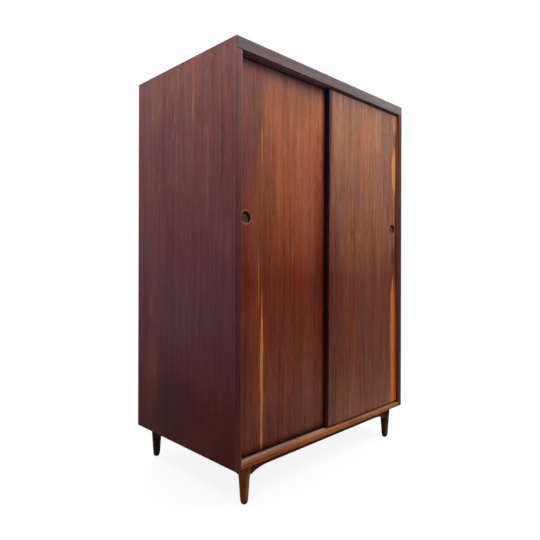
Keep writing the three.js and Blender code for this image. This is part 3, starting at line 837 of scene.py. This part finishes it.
def right_door_layers():
    """Stains and streaks of the right door's veneer, with sapwood along its right edge, and painted
    shadow under the fascia, along its right edge and at its left edge near the head.
    """
    return [
        tint(x=LEFT + 0.915, z=FOOT + 1.14, half=(0.045, 0.42), by=(0.76, 0.83, 1.02), ragged=0.8),
        tint(x=LEFT + 0.64, z=FOOT + 0.88, half=(0.10, 0.14), by=(0.92, 0.90, 0.98)),
        tint(x=LEFT + 0.505, z=FOOT + 0.45, half=(0.055, 0.62), by=(0.72, 0.69, 0.92), ragged=0.5),
        tint(x=LEFT + 0.97, z=FOOT + 0.78, half=(0.020, 0.18), by=(0.70, 0.58, 0.70), ragged=0.6),
        tint(x=LEFT + 0.967, z=FOOT + 0.69, half=(0.026, 0.045), by=(0.70, 0.64, 0.82), ragged=0.4),
        tint(x=LEFT + 0.90, z=FOOT + 0.17, half=(0.035, 0.16), by=(0.95, 0.88, 0.78)),
        tint(x=LEFT + 0.76, z=FOOT + 0.12, half=(0.030, 0.10), by=(0.93, 0.90, 0.86)),
        tint(x=LEFT + 0.55, z=FOOT + 0.14, half=(0.050, 0.05), by=(1.15, 1.15, 1.03)),
        tint(x=LEFT + 0.84, z=FOOT + 1.26, half=(0.035, 0.09), by=(1.15, 1.22, 1.18)),
        tint(x=LEFT + 0.84, z=FOOT + 0.10, half=(0.035, 0.10), by=(1.13, 1.12, 1.03)),
        tint(x=LEFT + 0.90, z=FOOT + 1.20, half=(0.020, 0.06), by=(0.88, 0.92, 0.98)),
        tint(x=LEFT + 0.80, z=FOOT + 0.90, half=(0.060, 0.07), by=(1.00, 1.09, 1.14)),
        tint(x=LEFT + 0.65, z=FOOT + 0.53, half=(0.080, 0.12), by=(0.91, 0.86, 0.84)),
        stripe("X", LEFT + 0.991, 0.014, (1.20, 0.85, 0.42)),
        sapwood(
            place=LEFT + 0.974, low=-1.50, high=0.775, width=0.033, colour=(0.34, 0.070, 0.014),
            seed=9.0, wander=0.004, blunt=0.87,
        ),
        sapwood(
            place=LEFT + 0.958, low=-1.50, high=0.765, width=0.020, colour=(0.60, 0.205, 0.043),
            seed=3.0, wander=0.004, strength=0.95, blunt=0.88,
        ),
        sapwood(
            place=LEFT + 0.975, low=1.13, high=1.355, width=0.027, colour=(0.36, 0.100, 0.025),
            seed=11.0, wander=0.003, strength=0.70,
        ),
        sapwood(
            place=LEFT + 0.969, low=1.115, high=1.350, width=0.021, colour=(0.56, 0.265, 0.105),
            seed=7.0, wander=0.003, strength=0.95, blunt=0.45,
        ),
        sapwood(
            place=LEFT + 0.969, low=0.86, high=1.22, width=0.005, colour=(0.40, 0.150, 0.070),
            seed=13.0, wander=0.003, strength=0.80,
        ),
        sapwood(
            place=LEFT + 0.973, low=1.40, high=1.56, width=0.013, colour=(0.46, 0.200, 0.110),
            seed=8.0, wander=0.004, blunt=0.70,
        ),
        # Painted shade along the right door's right edge, beside the side's lipping.
        tint(x=LEFT + 0.987, z=FOOT + 0.83, half=(0.012, 0.50), by=(0.36, 0.28, 0.28), ragged=0.2),
        tint(
            x=LEFT + 0.978, z=FOOT + 1.245, half=(0.022, 0.045), by=(0.66, 0.66, 0.90), ragged=0.4
        ),
        tint(x=LEFT + 0.974, z=FOOT + 0.03, half=(0.010, 0.16), by=(1.35, 1.45, 1.0), ragged=0.3),
        # Painted shadow of the gap at the right door's left edge, darker toward the head.
        tint(x=LEFT + 0.498, z=FOOT + 1.36, half=(0.010, 0.30), by=(0.36, 0.34, 0.48), ragged=0.0),
        tint(x=LEFT + 0.60, z=FOOT + 1.32, half=(0.030, 0.07), by=(0.88, 0.86, 0.84)),
        tint(x=LEFT + 0.945, z=FOOT + 1.29, half=(0.016, 0.12), by=(0.82, 0.88, 0.96)),
        # Painted shadow under the fascia.
        tone_toward_end(DOOR_HEAD, 0.050, (0.74, 0.80, 0.98)),
    ]


def finish_doors():
    """A door's lippings continue the colours and layers of its panel, up to their own arrises."""
    doors = (
        ("left", 21.0, LEFT_DOOR_COLOURS, left_door_layers(), rgb(0.26, 0.14, 0.115)),
        ("right", 33.0, RIGHT_DOOR_COLOURS, right_door_layers(), rgb(0.22, 0.095, 0.062)),
    )
    for side, seed, colours, layers, rim_colour in doors:
        panel = f"{side}_door_panel"
        figured = {"wear_and_highlight": 0.0, "strong": (1.2, 1.0), "layers": layers}
        give(rosewood(f"Veneer {panel}", "Z", colours, seed, node=panel, **figured), panel)
        for edge in ("left", "right"):
            name = f"{side}_door_{edge}_lipping"
            low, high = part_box(name)
            arris = low.x if edge == "left" else high.x
            inward = 1.0 if edge == "left" else -1.0
            # Both lines along a lipping's arris, the paler one and the bluish one, are painted
            # highlight.
            edges = [
                stripe("X", arris + 0.0024 * inward, 0.0018, (1.5, 1.7, 2.0), soft=0.6),
                stripe("X", arris, 0.0007, (0.80, 0.90, 2.0), soft=0.2),
            ]
            if (side, edge) == ("right", "right"):
                edges = []
            elif (side, edge) == ("right", "left"):
                # Painted shade of the gap on the right door's left lipping, darker toward the head.
                darker = {"half": (0.5, 0.62), "by": (0.22, 0.25, 0.42), "ragged": 0.0}
                edges.append(tint(x=arris, z=FOOT + 1.36, **darker))
            lipped = {"wear_and_highlight": 0.0, "layers": layers + edges}
            give(rosewood(f"Lipping {name}", "Z", colours, seed, node=name, **lipped), name)
        pull = f"{side}_door_finger_pull"
        turned = {"roughness": 0.6, "layers": [pale_rim(pull, rim_colour)]}
        give(rosewood(f"Pull {side}", "X", PULL, seed + 2, **turned), pull)


# ---------------------------------------------------------------- base and inside


def finish_base():
    """The rails and the turned legs."""
    # The rear apron's darker colour, which the stretchers share, is painted shade.
    for name, colour in (("front_apron", APRON), ("rear_apron", RAIL)):
        give(rosewood(f"Rail {name}", "X", colour, 41.0), name)
    for name in ("left_stretcher", "right_stretcher"):
        give(rosewood(f"Rail {name}", "Y", RAIL, 43.0), name)
    paler_head = tint(x=LEFT, z=0.13, half=(1.0, 0.12), by=(1.45, 1.40, 1.30))
    legs = (
        ("front_left_leg", 45.0, LEG, [paler_head]),
        # The front right and rear legs' darker colours are painted shade.
        ("front_right_leg", 46.0, FRONT_RIGHT_LEG, []),
        ("rear_left_leg", 47.0, REAR_LEG, []),
        ("rear_right_leg", 48.0, REAR_LEG, []),
    )
    for name, seed, colour, layers in legs:
        give(rosewood(f"Turned {name}", "Z", colour, seed, sway=0.01, layers=layers), name)


SHELVES = ("shelf_1", "shelf_2", "shelf_3", "shelf_4")


def finish_inside():
    """Everything behind the doors, the backs and the blocks under the case."""
    standing = plain_wood("Beech standing", "Z", *BEECH, seed=51.0)
    lying = plain_wood("Beech lying", "X", *BEECH, seed=53.0)
    deep = plain_wood("Beech front to back", "Y", *BEECH, seed=55.0)
    ply = plain_wood("Birch plywood", "Z", *BIRCH, seed=57.0, roughness=0.6)
    brass = turned_metal("Turned brass", *BRASS)
    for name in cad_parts:
        if name == "centre_partition" or "corner_block" in name:
            give(standing, name)
        elif name in ("bottom_panel", "hat_shelf", "hanging_rail") or name in SHELVES:
            give(lying, name)
        elif "cleat" in name:
            give(deep, name)
        elif "back_panel" in name:
            give(ply, name)
        elif "_pin_" in name or "socket" in name:
            give(brass, name)


# ---------------------------------------------------------------- back screws

HEAD_RADIUS = 0.0038
HEAD_HEIGHT = 0.0012
HEAD_ROUNDING = 0.0004
HEAD_SIDES = 32
SLOT_WIDTH = 0.0009
FROM_EDGE = 0.0065  # from a back panel's edge to the screws along it
FROM_END = 0.03  # from its head or foot to the last screw of an upright row
IN_A_ROW = 5
NEXT_SLOT = 2.4  # the turn from one screw's slot to the next one's, in radians


def add_disc(shape, foot_radius, head_radius, height):
    """Adds a closed disc or blunt cone that stands on the origin and points along +Z."""
    up = Matrix.Translation((0.0, 0.0, height / 2))
    sizes = {"radius1": foot_radius, "radius2": head_radius, "depth": height, "matrix": up}
    bmesh.ops.create_cone(shape, cap_ends=True, segments=HEAD_SIDES, **sizes)


def screw_head():
    """A rounded head in two halves on a thin disc, which closes the slot between them.

    Its foot is at the origin and it points along +Z.
    """
    shape = bmesh.new()
    for side in (1.0, -1.0):
        half = bmesh.new()
        add_disc(half, HEAD_RADIUS, HEAD_RADIUS * 0.7, HEAD_HEIGHT)
        whole = half.verts[:] + half.edges[:] + half.faces[:]
        wall = {"plane_co": (0.0, side * SLOT_WIDTH / 2, 0.0), "plane_no": (0.0, side, 0.0)}
        cut = bmesh.ops.bisect_plane(half, geom=whole, clear_inner=True, **wall)
        rim = [item for item in cut["geom_cut"] if isinstance(item, bmesh.types.BMEdge)]
        bmesh.ops.holes_fill(half, edges=rim)
        top = HEAD_HEIGHT * 0.9
        upper = [edge for edge in half.edges if all(vert.co.z > top for vert in edge.verts)]
        rounding = {"offset": HEAD_ROUNDING, "segments": 3, "profile": 0.5, "material": -1}
        bmesh.ops.bevel(half, geom=upper, affect="EDGES", **rounding)
        piece = bpy.data.meshes.new("half_head")
        half.to_mesh(piece)
        half.free()
        shape.from_mesh(piece)
        bpy.data.meshes.remove(piece)
    add_disc(shape, HEAD_RADIUS * 0.98, HEAD_RADIUS * 0.98, HEAD_HEIGHT * 0.4)
    bmesh.ops.recalc_face_normals(shape, faces=shape.faces[:])
    return shape


def add_back_screws():
    """A row of screws up each side of each back panel and one at the middle of its head."""
    steel = turned_metal("Zinc plated steel", *STEEL)
    backward = Matrix.Rotation(-math.pi / 2, 4, "X")
    count = 0
    for panel in [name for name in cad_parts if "back_panel" in name]:
        low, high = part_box(panel)
        edges = low.x + FROM_EDGE, high.x - FROM_EDGE
        row = high.z - low.z - 2 * FROM_END
        heights = [low.z + FROM_END + row * step / (IN_A_ROW - 1) for step in range(IN_A_ROW)]
        places = [(x, z) for x in edges for z in heights]
        places.append(((low.x + high.x) / 2, high.z - FROM_EDGE))
        for x, z in places:
            count += 1
            turn = Matrix.Rotation(NEXT_SLOT * count, 4, "Z")
            head = screw_head()
            head.transform(Matrix.Translation((x, high.y, z)) @ backward @ turn)
            mesh = bpy.data.meshes.new(f"back_screw_{count:02d}")
            head.to_mesh(mesh)
            head.free()
            mesh.materials.append(steel)
            screw = bpy.data.objects.new(mesh.name, mesh)
            bpy.context.collection.objects.link(screw)
            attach(screw, "carcass")


finish_sides()
finish_top_and_sill()
finish_doors()
finish_base()
finish_inside()
add_back_screws()


# ---------------------------------------------------------------- studio

FLOOR_SIZE = 60.0
LIT_GREY = rgb(0.15, 0.15, 0.15)  # the floor's colour for the light that it throws back
SHADOW_GREY = rgb(0.11, 0.11, 0.11)  # the part of its shown colour that a shadow takes away
SHOWN_GLOW = 0.90  # the part that it leaves

SENSOR = 36.0
FOCAL_LENGTH = 31.59
SHIFT = -0.0172
FROM_CORNER = Vector((-0.7062, -0.8221, 0.4838))  # in heights of the case
ROLL = -0.15  # in degrees, as is the heading
HEADING = -44.69

# Each lamp's name, place, target, size and power
LAMPS = (
    ("front_soft", (1.0, -1.8, 2.8), (0.1, -0.3, 0.95), (1.4, 1.6), 92),
    ("side_soft", (-1.6, 0.1, 2.6), (-0.5, 0.0, 1.1), (1.2, 0.7), 42),
    ("right_soft", (1.9, 0.3, 2.9), (0.5, 0.0, 1.0), (1.2, 0.8), 44),
    ("back_soft", (-0.2, 1.9, 2.9), (0.0, 0.3, 1.0), (1.2, 0.8), 44),
)


def seen_directly(graph):
    """1 for what the camera sees, in a gloss too, and 0 for light that falls on the wardrobe."""
    rays = graph.node("ShaderNodeLightPath").outputs
    mirrored = graph.add(rays["Is Glossy Ray"], rays["Is Transmission Ray"])
    return graph.math("ADD", rays["Is Camera Ray"], mirrored, clamp=True)


def studio_floor():
    """A floor that shows white, with a faint shadow near the wardrobe."""
    material, graph = new_material("Pale floor")
    matte = graph.node("ShaderNodeBsdfDiffuse", {"Color": LIT_GREY}).outputs[0]
    shadowed = graph.node("ShaderNodeBsdfDiffuse", {"Color": SHADOW_GREY}).outputs[0]
    glow = graph.node("ShaderNodeEmission", {"Color": WHITE, "Strength": SHOWN_GLOW}).outputs[0]
    near = graph.node("ShaderNodeAddShader", {0: shadowed, 1: glow}).outputs[0]
    white = graph.node("ShaderNodeEmission", {"Color": WHITE, "Strength": 1.0}).outputs[0]
    distance = graph.vector_math("LENGTH", graph.place(), output="Value")
    shown = graph.mix_shaders(graph.fade(distance, 0.9, 2.2), near, white)
    mixed = graph.mix_shaders(seen_directly(graph), matte, shown)
    graph.node("ShaderNodeOutputMaterial", {"Surface": mixed})
    mesh = bpy.data.meshes.new("studio_floor")
    shape = bmesh.new()
    bmesh.ops.create_grid(shape, x_segments=1, y_segments=1, size=FLOOR_SIZE)
    bmesh.ops.translate(shape, verts=shape.verts, vec=(0, 0, FLOOR))
    shape.to_mesh(mesh)
    shape.free()
    mesh.materials.append(material)
    floor = bpy.data.objects.new("studio_floor", mesh)
    bpy.context.scene.collection.objects.link(floor)


def studio_world():
    """A world that shows white and throws a dim even light on the wardrobe."""
    world = bpy.data.worlds.new("Studio")
    world.use_nodes = True
    world.node_tree.nodes.clear()
    graph = Graph(world.node_tree)
    soft = graph.node("ShaderNodeBackground", {"Color": WHITE, "Strength": 0.1}).outputs[0]
    white = graph.node("ShaderNodeBackground", {"Color": WHITE, "Strength": 1.0}).outputs[0]
    mixed = graph.mix_shaders(seen_directly(graph), soft, white)
    graph.node("ShaderNodeOutputWorld", {"Surface": mixed})
    bpy.context.scene.world = world


def soft_lamp(name, place, target, size, power):
    """A soft box at a place, turned toward a target."""
    lamp = bpy.data.lights.new(name, "AREA")
    lamp.shape = "RECTANGLE"
    lamp.size, lamp.size_y = size
    lamp.energy = power
    holder = bpy.data.objects.new(name, lamp)
    holder.location = place
    holder.rotation_euler = (Vector(target) - Vector(place)).to_track_quat("-Z", "Y").to_euler()
    bpy.context.scene.collection.objects.link(holder)


def camera():
    """Level, at half the wardrobe's height, looking at its front left corner."""
    corner = Vector((LEFT, FRONT, FOOT))
    lens = bpy.data.cameras.new("camera")
    lens.sensor_width = SENSOR
    lens.lens = FOCAL_LENGTH
    lens.shift_y = SHIFT
    view = bpy.data.objects.new("camera", lens)
    view.location = corner + FROM_CORNER * (TOP - FOOT)
    view.rotation_euler = (math.radians(90), math.radians(ROLL), math.radians(HEADING))
    bpy.context.scene.collection.objects.link(view)
    bpy.context.scene.camera = view


studio_floor()
studio_world()
camera()
for lamp in LAMPS:
    soft_lamp(*lamp)

scene = bpy.context.scene
scene.view_settings.view_transform = "Standard"
